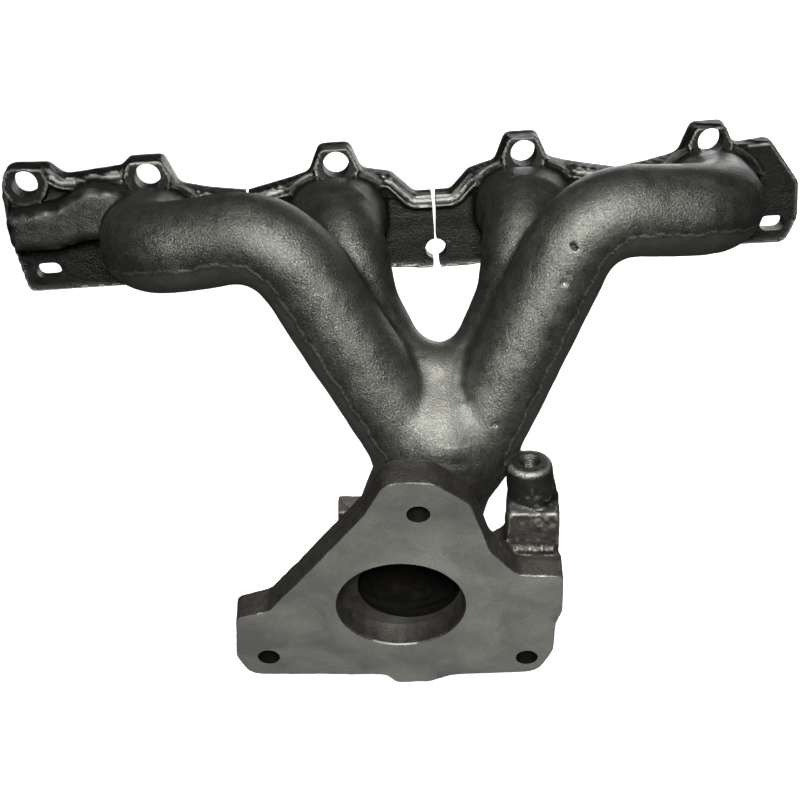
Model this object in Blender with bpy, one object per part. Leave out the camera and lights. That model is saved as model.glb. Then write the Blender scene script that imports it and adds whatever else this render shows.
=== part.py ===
"""Cast-iron exhaust manifold for a four-cylinder engine.

Frame: X along the row of ports, +Y into the cylinder head (the mating face is the plane Y = 0),
+Z up.  The origin lies on the mating face, mid-way between ports 2 and 3, just below their centres.
Driving dimensions are in millimetres; meshes are written in metres.
"""
import math

import bmesh
import bpy
from mathutils import Matrix, Vector

MM = 0.001
GAP = 0.3                      # clearance between neighbouring pieces
SWEPT_GAP = 0.6                # the same, allowing for the facets of bent skins

# ---- head flange -----------------------------------------------------------------------
PORT_PITCH = 96.0
PORT_X = tuple(PORT_PITCH * (i - 1.5) for i in range(4))
PORT_Z = 1.5
PORT_W = 41.0                  # oval port opening
PORT_H = 33.0
ROOT_WALL = 4.8
FLANGE_T = 12.0                # thickness at the ears and around the ports
FIELD_T = 8.5                  # thickness of the recessed field
STUD_Z = 28.8
STUD_R = 6.7
END_STUD_X = -205.5
STUD_SHIFT = 0.8               # studs sit a little to the right of the port centres
BOTTOM_Z = -30.0
SLOT_W = 13.0
SLOT_H = 8.0
SLOT_L_AT = (-200.0, -18.5)
SLOT_R_AT = (178.5, -17.5)
KEYHOLE_AT = (1.9, -20.0)
KEYHOLE_R = 5.5
SAW_CUT = 1.3
SLIT_HALF = 0.9                # half width of the cast slit between ports 2 and 3
SLIT_LIP_Z = -31.5             # the slit's lips hang a little below the flange
SHOULDER_Z = 15.8              # top edge of the flange at the two saw cuts
CUT_1_X = -94.0
CUT_2_X = 1.9
CUT_3_X = 98.0

# ---- runners (corner points of each centre line, bend radii, diameters) ------------------
RUNNER_OD = 44.5
RUNNER_OD_LOW = 44.0
INNER_OD = 38.0
RUNNER_WALL = 4.6
OUTER_L = ((-144.0, 0.0, 1.5), (-144.5, -62.0, 4.0), (-77.5, -74.0, 14.0), (-19.5, -82.0, -100.0))
OUTER_R = ((144.0, 0.0, 1.5), (142.5, -62.0, 7.0), (72.0, -74.0, 14.0), (18.0, -82.0, -100.0))
INNER_L = ((-48.0, 0.0, 1.5), (-45.5, -46.0, 5.0), (-39.5, -52.0, -34.0), (-18.0, -62.0, -82.0))
INNER_R = ((48.0, 0.0, 1.5), (44.5, -46.0, 5.0), (37.5, -52.0, -34.0), (12.0, -62.0, -82.0))
OUTER_BENDS = (28.0, 36.0)
INNER_BENDS = (24.0, 45.0)
RUNNER_END_Z = -56.0           # the four runners end on this level

# ---- collector and neck ------------------------------------------------------------------
COLLECTOR_END_Z = -106.0
COLLECTOR_END = (-3.6, -75.0)  # centre at its lower end
COLLECTOR_W = 76.0
COLLECTOR_D = 64.0
COLLECTOR_WALL = 5.0
WEB_AT = (-2.5, -68.0)         # middle of the web that joins the runners
WEB_R = 20.0
NECK_WAIST_R = 31.0            # half width just below the collector
NECK_END_R = 33.5
NECK_SWAY = 1.1                # how evenly the neck moves over to the outlet's side
NECK_WALL = 5.0

# ---- outlet flange ------------------------------------------------------------------------
OUTLET_AT = (-28.9, -110.0, -173.5)
OUTLET_DOWN = 22.0             # the face looks down by this angle
OUTLET_YAW = -3.6
OUTLET_TURN = -3.4
OUTLET_T = 16.0
BORE_R = 32.0
BORE_DEPTH = 13.0
PASSAGE_R = 26.0
PASSAGE_OFFSET = 4.0           # cast passage sits off the bore's centre
OUTLET_HOLES = ((-68.5, -43.0), (65.5, -43.0), (8.0, 69.0))
OUTLET_HOLE_R = 4.4
# outline corners (right, up) with the blend radius at each
OUTLET_OUTLINE = (
    ((-83.8, -11.5), 5.0), ((-85.4, -42.0), 13.0), ((-79.0, -58.0), 10.0), ((-8.0, -58.5), 5.0),
    ((-2.0, -65.0), 5.0), ((14.5, -65.0), 6.0), ((28.0, -58.5), 10.0), ((72.0, -55.5), 11.0),
    ((79.0, -37.0), 12.0), ((79.0, -15.0), 5.0), ((81.3, -5.0), 4.0), ((79.8, 23.0), 3.0),
    ((57.0, 24.0), 9.0), ((43.0, 42.0), 14.0), ((33.0, 75.0), 12.0), ((14.0, 90.5), 13.0),
    ((-8.0, 90.5), 12.0), ((-17.5, 68.0), 14.0), ((-66.0, -4.5), 8.0),
)

# ---- bracket boss and lug -------------------------------------------------------------------
BLOCK_TOP = 46.0
BLOCK_OUTLINE = (
    ((28.0, 4.0), 2.0), ((79.0, 4.0), 4.0), ((78.6, 46.0), 3.0), ((52.3, 46.0), 3.0),
    ((52.3, 20.0), 6.0), ((44.0, 13.0), 6.0), ((28.0, 12.0), 2.0),
)
BLOCK_BACK = -37.0             # depth behind the outlet face
POST_TOP = (38.4, -100.0, -103.0)
POST_LEAN = 10.0
POST_R = 11.6
POST_FOOT_SHIFT = 1.6          # the foot stands a little further right
POST_CHAMFER = 1.6
POST_HOLE_R = 4.0
POST_HOLE_DEPTH = 24.0
LUG_A = (-31.0, -8.0)
LUG_U = (36.0, 48.5)
LUG_W = (-31.0, -19.0)

# ---- end rib ----------------------------------------------------------------------------------
RIB_FRONT_Y = -29.0
RIB_OUTLINE = (
    ((-216.5, 17.0), 6.0), ((-214.0, -2.0), 6.0), ((-190.0, -3.0), 10.0), ((-150.0, 1.0), 3.0),
    ((-150.0, 24.0), 3.0), ((-172.0, 29.5), 12.0), ((-190.0, 19.0), 10.0),
)

ROUND = 26                     # facets round a runner
ROOT_BLEND = 0.25              # share of a runner's length over which the oval root turns round
IRON = (0.060, 0.057, 0.052, 1.0)
MACHINED = (0.170, 0.163, 0.150, 1.0)


# ---- plane and curve rules ------------------------------------------------------------------
def arc_points(centre, radius, start, end, count):
    """Points on an arc, angles in degrees."""
    out = []
    for i in range(count + 1):
        t = math.radians(start + (end - start) * i / count)
        out.append((centre[0] + radius * math.cos(t), centre[1] + radius * math.sin(t)))
    return out


def blend_corners(corners, facets=3):
    """Closed outline whose corners are replaced by arcs of the radius given with each."""
    out = []
    n = len(corners)
    for i in range(n):
        p = Vector(corners[i][0])
        radius = corners[i][1]
        back = Vector(corners[i - 1][0]) - p
        ahead = Vector(corners[(i + 1) % n][0]) - p
        half = back.angle(ahead) / 2.0
        reach = min(radius / math.tan(half), 0.48 * back.length, 0.48 * ahead.length)
        a = p + back.normalized() * reach
        b = p + ahead.normalized() * reach
        for k in range(facets + 1):
            t = k / facets
            out.append(tuple((1 - t) ** 2 * a + 2 * t * (1 - t) * p + t * t * b))
    return out


def bent_line(corners, bends, facets=5):
    """Stations on a line of straight lengths joined by circular bends.

    Each station is (point, direction, distance from the start)."""
    pts = [Vector(c) for c in corners]
    stations = [(pts[0], (pts[1] - pts[0]).normalized())]
    for i in range(1, len(pts) - 1):
        back = (pts[i - 1] - pts[i]).normalized()
        ahead = (pts[i + 1] - pts[i]).normalized()
        half = back.angle(ahead) / 2.0
        radius = bends[i - 1]
        reach = radius / math.tan(half)
        centre = pts[i] + (back + ahead).normalized() * (radius / math.sin(half))
        a = (pts[i] + back * reach - centre).normalized()
        b = (pts[i] + ahead * reach - centre).normalized()
        for k in range(facets + 1):
            t = k / facets
            stations.append((centre + a.slerp(b, t) * radius, (-back).slerp(ahead, t)))
    stations.append((pts[-1], (pts[-1] - pts[-2]).normalized()))
    out = []
    run = 0.0
    for i, (point, along) in enumerate(stations):
        run += (point - stations[max(i - 1, 0)][0]).length
        out.append((point, along, run))
    return out


def oval(t, half_w, half_h, power):
    """Point of a rounded oval at angle t; power 2 is an ellipse, more is squarer."""
    c, s = math.cos(t), math.sin(t)
    return (half_w * math.copysign(abs(c) ** (2 / power), c),
            half_h * math.copysign(abs(s) ** (2 / power), s))


# ---- mesh helpers -----------------------------------------------------------------------------
def make_object(name, verts, faces):
    mesh = bpy.data.meshes.new(name)
    mesh.from_pydata([[c * MM for c in v] for v in verts], [], faces)
    bm = bmesh.new()
    bm.from_mesh(mesh)
    bmesh.ops.recalc_face_normals(bm, faces=bm.faces)
    bm.to_mesh(mesh)
    bm.free()
    obj = bpy.data.objects.new(name, mesh)
    bpy.context.collection.objects.link(obj)
    return obj


def loft(name, rings):
    """Closed solid through rings of equal point count."""
    n = len(rings[0])
    verts = [p for ring in rings for p in ring]
    faces = []
    for r in range(len(rings) - 1):
        for i in range(n):
            j = (i + 1) % n
            faces.append((r * n + i, r * n + j, (r + 1) * n + j, (r + 1) * n + i))
    faces.append(tuple(range(n)))
    faces.append(tuple((len(rings) - 1) * n + i for i in range(n)))
    return make_object(name, verts, faces)


def hollow_loft(name, outer, inner):
    """Open-ended tube: an outer and an inner skin closed by a ring face at each end."""
    n = len(outer[0])
    rows = len(outer)
    verts = [p for ring in outer for p in ring] + [p for ring in inner for p in ring]
    shift = rows * n
    faces = []
    for r in range(rows - 1):
        for i in range(n):
            j = (i + 1) % n
            a, b = r * n + i, r * n + j
            faces.append((a, b, b + n, a + n))
            faces.append((shift + a, shift + a + n, shift + b + n, shift + b))
    for r in (0, rows - 1):
        for i in range(n):
            j = (i + 1) % n
            faces.append((r * n + i, r * n + j, shift + r * n + j, shift + r * n + i))
    return make_object(name, verts, faces)


def prism(name, outline, low, high, frame=None):
    """Solid between two depths of an outline (right, up) in a frame whose third axis is depth."""
    frame = frame or HEAD_FRAME
    rings = [[frame @ Vector((a, u, w)) for a, u in outline] for w in (low, high)]
    return loft(name, rings)


def box(name, a, u, w, frame):
    return prism(name, [(a[0], u[0]), (a[1], u[0]), (a[1], u[1]), (a[0], u[1])], w[0], w[1], frame)


def disc(name, at, radius, low, high, frame=None, facets=24):
    return prism(name, arc_points(at, radius, 0, 360, facets)[:-1], low, high, frame)


def boolean(target, tool, operation="DIFFERENCE"):
    mod = target.modifiers.new(operation.lower() + " " + tool.name, "BOOLEAN")
    mod.operation = operation
    mod.solver = "EXACT"
    mod.object = tool
    tool.hide_render = True
    tool.display_type = "WIRE"
    return target


def finish(obj, colour, roughness, smooth):
    mat = bpy.data.materials.new(obj.name + "_iron")
    mat.use_nodes = True
    shader = mat.node_tree.nodes["Principled BSDF"]
    shader.inputs["Base Color"].default_value = colour
    shader.inputs["Roughness"].default_value = roughness
    shader.inputs["Metallic"].default_value = 0.85
    obj.data.materials.append(mat)
    for poly in obj.data.polygons:
        poly.use_smooth = smooth


# ---- frames -------------------------------------------------------------------------------------
# right = +X, up = +Z, depth coordinate grows towards the viewer's side (-Y)
HEAD_FRAME = Matrix(((1, 0, 0, 0), (0, 0, -1, 0), (0, 1, 0, 0), (0, 0, 0, 1)))
OUTLET_FRAME = (Matrix.Translation(OUTLET_AT)
                @ Matrix.Rotation(math.radians(OUTLET_YAW), 4, "Z")
                @ Matrix.Rotation(math.radians(90.0 + OUTLET_DOWN), 4, "X")
                @ Matrix.Rotation(math.radians(OUTLET_TURN), 4, "Z"))


# ---- head flange pads -----------------------------------------------------------------------------
def ear(x):
    """Top-edge points of one stud ear, right to left."""
    return [((x + 14.0, 24.0), 5.0), ((x + 8.4, 37.8), 4.0), ((x - 7.6, 37.8), 4.0), ((x - 13.5, 24.0), 5.0)]


def pad(name, corners, field, cuts):
    """One pad: outline at full thickness, field milled back, port and holes cut through."""
    body = prism(name, blend_corners(corners), 0.0, FLANGE_T)
    for i, part in enumerate(field):
        boolean(body, prism(f"{name}_field_{i}", blend_corners(part), FIELD_T, FLANGE_T + 5.0))
    for tool in cuts:
        boolean(body, tool)
    finish(body, IRON, 0.62, False)
    return body


def port_tool(name, x):
    ring = [oval(math.tau * i / ROUND, PORT_W / 2, PORT_H / 2, 2.4) for i in range(ROUND)]
    return prism(name, [(x + a, PORT_Z + u) for a, u in ring], -5.0, FLANGE_T + 5.0)


def stud_tool(name, x):
    return disc(name, (x + STUD_SHIFT, STUD_Z), STUD_R, -5.0, FLANGE_T + 5.0)


def slot_tool(name, at):
    half = (SLOT_W - SLOT_H) / 2
    outline = (arc_points((at[0] + half, at[1]), SLOT_H / 2, -90, 90, 8)
               + arc_points((at[0] - half, at[1]), SLOT_H / 2, 90, 270, 8))
    return prism(name, outline, -5.0, FLANGE_T + 5.0)


def side_fields(x0, x1, port_x, top_left, top_right):
    """The two recessed fields beside a port, between the rim and the lower edge."""
    land = PORT_W / 2 + ROOT_WALL + 2.0
    low = BOTTOM_Z - 10.0
    fields = []
    if port_x - land - x0 > 8.0:
        fields.append([((x0 - 5, low), 0.5), ((port_x - land, low), 0.5),
                       ((port_x - land, top_left[1]), 4.0), ((x0 - 5, top_left[0]), 0.5)])
    if x1 - port_x - land > 8.0:
        fields.append([((port_x + land, low), 0.5), ((x1 + 5, low), 0.5),
                       ((x1 + 5, top_right[1]), 0.5), ((port_x + land, top_right[0]), 4.0)])
    return fields


def head_pads():
    c1 = (CUT_1_X - SAW_CUT / 2, CUT_1_X + SAW_CUT / 2)
    c3 = (CUT_3_X - SAW_CUT / 2, CUT_3_X + SAW_CUT / 2)
    sharp = 0.6
    keyhole = disc("keyhole_bore", KEYHOLE_AT, KEYHOLE_R, -5.0, FLANGE_T + 5.0)

    corners = [
        ((c1[0], BOTTOM_Z), sharp), ((c1[0], SHOULDER_Z), sharp), ((-112.0, 18.5), 8.0),
        ((-128.0, 22.0), 6.0), ((-134.8, 37.6), 4.0), ((-152.0, 37.6), 4.0), ((-157.0, 33.2), 4.0),
        ((-186.0, 30.6), 8.0), ((-193.5, 37.2), 5.0), ((-215.5, 38.2), 7.0), ((-219.5, 22.0), 8.0),
        ((-218.0, -2.0), 8.0), ((-212.0, -30.5), 6.0),
    ]
    fields = side_fields(-222.0, c1[0], PORT_X[0], (-5.0, -5.0), (13.0, 15.0))
    pad("head_pad_1", corners, fields,
        [port_tool("port_1", PORT_X[0]), stud_tool("stud_1a", END_STUD_X), stud_tool("stud_1b", PORT_X[0]),
         slot_tool("slot_left", SLOT_L_AT)])

    left_slit = CUT_2_X - SLIT_HALF
    corners = [((left_slit, SLIT_LIP_Z), 1.5), ((left_slit, 9.8), sharp), ((-7.5, 9.8), 5.0),
               ((-18.5, 21.0), 6.0)]
    corners += ear(PORT_X[1])
    corners += [((-70.0, 21.5), 8.0), ((c1[1], SHOULDER_Z), sharp), ((c1[1], BOTTOM_Z), sharp),
                ((-20.0, BOTTOM_Z + 1.0), 4.0)]
    fields = side_fields(c1[1], left_slit, PORT_X[1], (13.0, 17.0), (4.0, 4.0))
    pad("head_pad_2", corners, fields,
        [port_tool("port_2", PORT_X[1]), stud_tool("stud_2", PORT_X[1]), keyhole])

    right_slit = CUT_2_X + SLIT_HALF
    corners = [((c3[0], BOTTOM_Z + 1.0), sharp), ((c3[0], SHOULDER_Z), sharp), ((70.0, 21.5), 8.0)]
    corners += ear(PORT_X[2])
    corners += [((20.5, 20.0), 6.0), ((11.0, 10.0), 5.0), ((right_slit, 10.0), sharp),
                ((right_slit, SLIT_LIP_Z), 1.5), ((24.0, BOTTOM_Z - 0.5), 4.0)]
    fields = side_fields(right_slit, c3[0], PORT_X[2], (4.0, 4.0), (17.0, 13.0))
    pad("head_pad_3", corners, fields,
        [port_tool("port_3", PORT_X[2]), stud_tool("stud_3", PORT_X[2]), keyhole])

    corners = [
        ((186.0, BOTTOM_Z + 1.0), 8.0), ((192.5, -15.0), 5.0), ((192.5, 4.0), 5.0),
        ((177.0, 27.0), 6.0), ((158.0, 25.0), 6.0), ((152.6, 37.5), 4.0), ((136.4, 37.0), 4.0),
        ((129.5, 22.0), 6.0), ((112.0, 18.0), 8.0), ((c3[1], SHOULDER_Z), sharp),
        ((c3[1], BOTTOM_Z + 1.0), sharp),
    ]
    fields = side_fields(c3[1], 194.0, PORT_X[3], (13.0, 15.0), (17.0, -6.0))
    pad("head_pad_4", corners, fields,
        [port_tool("port_4", PORT_X[3]), stud_tool("stud_4", PORT_X[3]), slot_tool("slot_right", SLOT_R_AT)])


# ---- runners --------------------------------------------------------------------------------------
def lower_end(corners, level=RUNNER_END_Z):
    """Where a runner's centre line reaches a level on its last straight."""
    p, q = Vector(corners[-2]), Vector(corners[-1])
    return p.lerp(q, (level - p.z) / (q.z - p.z))


def runner_rings(corners, bends, od_top, od_low, grow=0.0, overrun=0.0):
    """Rings of a runner: oval at the port, round after the first bend, cut level at the lower end.

    grow enlarges the skin, a negative value gives the gas passage; overrun lengthens both ends."""
    level = RUNNER_END_Z + GAP - overrun
    port = (corners[0][0], overrun - FLANGE_T - GAP, corners[0][2])
    stations = bent_line((port,) + corners[1:-1] + (lower_end(corners, level),), bends)
    total = stations[-1][2]
    right = Vector((1.0, 0.0, 0.0))
    rings = []
    for k, (centre, along, run) in enumerate(stations):
        if k == 0:
            along = Vector((0.0, -1.0, 0.0))
        right = (right - along * right.dot(along)).normalized()
        up = right.cross(along)
        t = run / total
        blend = min(1.0, t / ROOT_BLEND)
        radius = od_top / 2 + (od_low - od_top) / 2 * t + grow
        half_w = (PORT_W / 2 + ROOT_WALL + grow) * (1 - blend) + radius * blend
        half_h = (PORT_H / 2 + ROOT_WALL + grow) * (1 - blend) + radius * blend
        ring = []
        for i in range(ROUND):
            a, u = oval(math.tau * i / ROUND, half_w, half_h, 2.4 - 0.4 * blend)
            ring.append(centre + right * a + up * u)
        rings.append(ring)
    rings[-1] = [p + along * ((level - p.z) / along.z) for p in rings[-1]]
    return rings


def runners():
    paths = {"runner_1": (OUTER_L, OUTER_BENDS, RUNNER_OD, RUNNER_OD_LOW),
             "runner_2": (INNER_L, INNER_BENDS, INNER_OD, INNER_OD),
             "runner_3": (INNER_R, INNER_BENDS, INNER_OD, INNER_OD),
             "runner_4": (OUTER_R, OUTER_BENDS, RUNNER_OD, RUNNER_OD_LOW)}
    made = {}
    for name, spec in paths.items():
        made[name] = hollow_loft(name, runner_rings(*spec), runner_rings(*spec, grow=-RUNNER_WALL))
        finish(made[name], IRON, 0.5, True)
    for inner, outer in (("runner_2", "runner_1"), ("runner_3", "runner_4")):
        boolean(made[inner], loft(outer + "_clearance",
                                  runner_rings(*paths[outer], grow=SWEPT_GAP, overrun=5.0)))
    return paths, made


# ---- collector and neck -----------------------------------------------------------------------------
def lobed_ring(centre, lobes, z):
    """Outline round several discs, as seen from a centre inside one of them, softened."""
    reach = []
    for i in range(ROUND * 2):
        t = math.tau * i / (ROUND * 2)
        d = Vector((math.cos(t), math.sin(t)))
        best = 0.0
        for x, y, rx, ry in lobes:
            ox, oy = (centre[0] - x) / rx, (centre[1] - y) / ry
            dx, dy = d.x / rx, d.y / ry
            a, b, c = dx * dx + dy * dy, ox * dx + oy * dy, ox * ox + oy * oy - 1.0
            root = b * b - a * c
            if root > 0.0:
                best = max(best, (-b + math.sqrt(root)) / a)
        reach.append(best)
    n = len(reach)
    for _ in range(2):
        reach = [(reach[i - 1] + 2 * reach[i] + reach[(i + 1) % n]) / 4 for i in range(n)]
    return [Vector((centre[0] + reach[i] * math.cos(math.tau * i / n),
                    centre[1] + reach[i] * math.sin(math.tau * i / n), z)) for i in range(n)]


def collector_rings(paths, shrink):
    lobes = []
    for corners, bends, _, od_low in paths.values():
        at = lower_end(corners)
        slope = abs((at - Vector(corners[-2])).normalized().z)
        lobes.append((at.x, at.y, od_low / 2 / slope - shrink, od_low / 2 - shrink))
    lobes.append((WEB_AT[0], WEB_AT[1], WEB_R - shrink, WEB_R - shrink))
    top = lobed_ring(WEB_AT, lobes, RUNNER_END_Z)
    n = len(top)
    low = [Vector((COLLECTOR_END[0] + (COLLECTOR_W / 2 - shrink) * math.cos(math.tau * i / n),
                   COLLECTOR_END[1] + (COLLECTOR_D / 2 - shrink) * math.sin(math.tau * i / n),
                   COLLECTOR_END_Z)) for i in range(n)]
    rings = []
    for k in range(7):
        t = k / 6
        ease = t * t * (3 - 2 * t)
        ring = [a.lerp(b, 0.35 * t + 0.65 * ease) for a, b in zip(top, low)]
        rings.append([Vector((p.x, p.y, RUNNER_END_Z + (COLLECTOR_END_Z - RUNNER_END_Z) * t)) for p in ring])
    return rings


def entry_rings(corners, radius):
    """A runner's gas passage carried on through the collector's deck."""
    along = (lower_end(corners) - Vector(corners[-2])).normalized()
    right = Vector((1.0, 0.0, 0.0))
    right = (right - along * right.dot(along)).normalized()
    up = right.cross(along)
    rings = []
    for level in (RUNNER_END_Z + 6.0, RUNNER_END_Z - COLLECTOR_WALL - 6.0):
        centre = lower_end(corners, level)
        ring = [centre + right * (radius * math.cos(math.tau * i / ROUND))
                + up * (radius * math.sin(math.tau * i / ROUND)) for i in range(ROUND)]
        rings.append(ring)
    return rings


def neck_rings(shrink, w_end):
    """Elbow from the collector's level end round to the back of the outlet flange.

    Every ring lies in a plane through one pivot line in front of the elbow."""
    a_axis = OUTLET_FRAME.col[0].to_3d()
    u_axis = OUTLET_FRAME.col[1].to_3d()
    back = OUTLET_FRAME @ Vector((0.0, 0.0, w_end))
    lift = (COLLECTOR_END_Z - GAP - back.z) / u_axis.z
    pivot = back + u_axis * lift
    start_r = COLLECTOR_END[1] - pivot.y
    turn = Vector((0.0, 1.0, 0.0)).angle(-u_axis)
    rings = []
    steps = 8
    for k in range(steps + 1):
        t = k / steps
        down = Vector((0.0, math.cos(turn * t), -math.sin(turn * t)))
        right = Vector((1.0, 0.0, 0.0)).lerp(a_axis, t)
        if k == steps:
            down = -u_axis
        reach = start_r + (lift - start_r) * t
        side = pivot.lerp(back + u_axis * lift, t)
        x = COLLECTOR_END[0] + (back.x - COLLECTOR_END[0]) * t ** NECK_SWAY
        centre = Vector((x, side.y, side.z)) + down * reach
        if k == steps:
            centre = back
        narrow = min(1.0, t / 0.38)
        waist = COLLECTOR_W / 2 + (NECK_WAIST_R - COLLECTOR_W / 2) * narrow
        half_w = waist + (NECK_END_R - NECK_WAIST_R) * t - shrink
        half_d = COLLECTOR_D / 2 + (NECK_END_R - COLLECTOR_D / 2) * t - shrink
        count = ROUND + 4
        ring = [centre + right * (half_w * math.cos(math.tau * i / count))
                + down * (half_d * math.sin(math.tau * i / count)) for i in range(count)]
        rings.append(ring)
    return rings


def collector_and_neck(paths):
    collector = loft("collector", collector_rings(paths, 0.0))
    cavity = collector_rings(paths, COLLECTOR_WALL)
    cavity[0] = [p - Vector((0.0, 0.0, COLLECTOR_WALL)) for p in cavity[0]]
    cavity[-1] = [p - Vector((0.0, 0.0, 5.0)) for p in cavity[-1]]
    boolean(collector, loft("collector_cavity", cavity))
    for name, (corners, _, _, od_low) in paths.items():
        boolean(collector, loft(name + "_entry", entry_rings(corners, od_low / 2 - RUNNER_WALL)))
    finish(collector, IRON, 0.48, True)
    w_end = -(OUTLET_T + GAP)
    neck = hollow_loft("outlet_neck", neck_rings(0.0, w_end), neck_rings(NECK_WALL, w_end))
    finish(neck, IRON, 0.52, True)
    return loft("neck_clearance", neck_rings(-SWEPT_GAP, w_end))


# ---- outlet flange, bracket boss, lug -----------------------------------------------------------------
def outlet_flange():
    plate = prism("outlet_flange", blend_corners(OUTLET_OUTLINE), -OUTLET_T, 0.0, OUTLET_FRAME)
    boolean(plate, disc("outlet_bore", (0.0, 0.0), BORE_R, -BORE_DEPTH, 5.0, OUTLET_FRAME, 40))
    boolean(plate, disc("outlet_passage", (PASSAGE_OFFSET, 0.0), PASSAGE_R, -OUTLET_T - 5.0,
                        -BORE_DEPTH + 2.0, OUTLET_FRAME, 32))
    for i, at in enumerate(OUTLET_HOLES):
        boolean(plate, disc(f"outlet_tapping_{i + 1}", at, OUTLET_HOLE_R, -OUTLET_T - 5.0, 5.0,
                            OUTLET_FRAME, 20))
    finish(plate, MACHINED, 0.42, False)


def bracket(neck_clearance, collector_clearance):
    block = prism("bracket_block", blend_corners(BLOCK_OUTLINE), BLOCK_BACK, -OUTLET_T - GAP, OUTLET_FRAME)
    boolean(block, neck_clearance)
    finish(block, IRON, 0.6, False)

    lean = Matrix.Rotation(math.radians(POST_LEAN), 4, "X")
    frame = Matrix.Translation(POST_TOP) @ lean
    seat = OUTLET_FRAME @ Vector((0.0, BLOCK_TOP + GAP, 0.0))
    normal = OUTLET_FRAME.col[1].to_3d()
    axis = frame.col[2].to_3d()

    def ring(radius, depth):
        flat = arc_points((0.0, 0.0), radius, 0, 360, 24)[:-1]
        pts = [frame @ Vector((x, y, 0.0)) for x, y in flat]
        if depth is None:
            return [p + axis * ((seat - p).dot(normal) / axis.dot(normal)) for p in pts]
        return [p + axis * depth for p in pts]

    post = loft("bracket_post", [ring(POST_R - POST_CHAMFER, 0.0), ring(POST_R, -POST_CHAMFER),
                                 [p + Vector((POST_FOOT_SHIFT, 0.0, 0.0)) for p in ring(POST_R + 0.7, None)]])
    boolean(post, loft("post_tapping", [ring(POST_HOLE_R, 5.0), ring(POST_HOLE_R, -POST_HOLE_DEPTH)]))
    finish(post, IRON, 0.5, True)

    lug = box("side_lug", LUG_A, LUG_U, LUG_W, OUTLET_FRAME)
    boolean(lug, neck_clearance)
    boolean(lug, collector_clearance)
    finish(lug, IRON, 0.6, False)


def end_rib(paths):
    rib = prism("end_rib", blend_corners(RIB_OUTLINE), FLANGE_T + GAP, -RIB_FRONT_Y)
    boolean(rib, loft("rib_clearance", runner_rings(*paths["runner_1"], grow=SWEPT_GAP, overrun=5.0)))
    finish(rib, IRON, 0.6, True)


def main():
    for obj in list(bpy.data.objects):
        bpy.data.objects.remove(obj, do_unlink=True)
    head_pads()
    paths, _ = runners()
    neck_clearance = collector_and_neck(paths)
    outlet_flange()
    collector_clearance = loft("collector_clearance", collector_rings(paths, -SWEPT_GAP))
    bracket(neck_clearance, collector_clearance)
    end_rib(paths)


main()
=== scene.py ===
"""Visual model of a cast-iron exhaust manifold.

The casting is modelled as a distance field in millimetres: rounded plates, bent tubes and ribs
run into one another with the soft fillets of a sand casting.  The field is meshed, machined with
crisp cutters (faces, bores, stud holes, saw cuts) and divided into the same regions as the CAD
nodes.  All lengths are in millimetres up to the mesh, which is in metres.
"""
import math

import bpy
import bmesh
import numpy as np
import openvdb
from mathutils import Matrix, Vector


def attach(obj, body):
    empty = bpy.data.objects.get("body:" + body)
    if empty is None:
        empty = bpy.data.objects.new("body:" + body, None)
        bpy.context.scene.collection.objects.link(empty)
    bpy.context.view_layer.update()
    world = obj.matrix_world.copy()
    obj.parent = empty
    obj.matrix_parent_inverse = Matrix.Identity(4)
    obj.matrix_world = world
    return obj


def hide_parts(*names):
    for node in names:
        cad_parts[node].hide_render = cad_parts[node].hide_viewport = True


MM = 0.001
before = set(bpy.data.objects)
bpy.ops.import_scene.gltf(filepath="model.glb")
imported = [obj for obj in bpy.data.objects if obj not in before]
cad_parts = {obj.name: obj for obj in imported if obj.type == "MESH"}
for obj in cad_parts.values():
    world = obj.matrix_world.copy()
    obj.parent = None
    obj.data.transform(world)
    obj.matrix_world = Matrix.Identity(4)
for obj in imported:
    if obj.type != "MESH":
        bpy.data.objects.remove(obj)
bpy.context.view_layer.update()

# ---- dimensions (mm) -------------------------------------------------------------------
VOXEL = 1.0
FAR = 25.0                              # distance stored where nothing is near
PORT_X = (-144.0, -48.0, 48.0, 144.0)
PORT_Z = 1.5
PORT_W, PORT_H = 41.0, 33.0
PORT_WALL = 4.8
OUTER_R, INNER_R = 22.2, 19.0           # outsides of the runners at their upper ends
OUTER_BORE, INNER_BORE = 17.4, 14.4     # radii of their passages
FLANGE_T = 12.0
STUD_Z = 28.8
STUD_R = 6.7
STUDS = (-205.5, -143.2, -47.2, 48.8, 144.8)
SEAT_R, SEAT_DEPTH = 11.4, 6.0          # spot faces for the stud nuts
CUT_X = (-94.0, 1.9, 98.0)              # the three slits in the head flange
SAW_CUT = 1.3
KEYHOLE = (1.9, -20.0, 5.5)             # x, z, radius
SLOTS = ((-200.0, -18.5), (178.5, -17.5))
SLOT_W, SLOT_H = 13.0, 8.0

OUTLET_AT = (-28.9, -110.0, -173.5)
OUTLET_T = 16.0
BORE_R, BORE_DEPTH = 32.0, 13.0
PASSAGE_R, PASSAGE_OFFSET = 26.0, 4.0
OUTLET_HOLES = ((-68.5, -43.0), (65.5, -43.0), (8.0, 69.0))
OUTLET_HOLE_R = 4.4
EDGE_BREAK = 0.7                        # small chamfer round the mouth of the outlet bore
POST_HOLE_R, POST_HOLE_DEPTH = 4.0, 24.0
THREAD_PITCH, THREAD_DEPTH = 1.25, 0.35
CLEAR = 4.0                             # how far a cutter starts outside the face it cuts
THROUGH = 20.0                          # depth that passes right through the head flange


def turned(degrees, axis):
    """Rotation matrix about one axis."""
    return Matrix.Rotation(math.radians(degrees), 4, axis)


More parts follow.
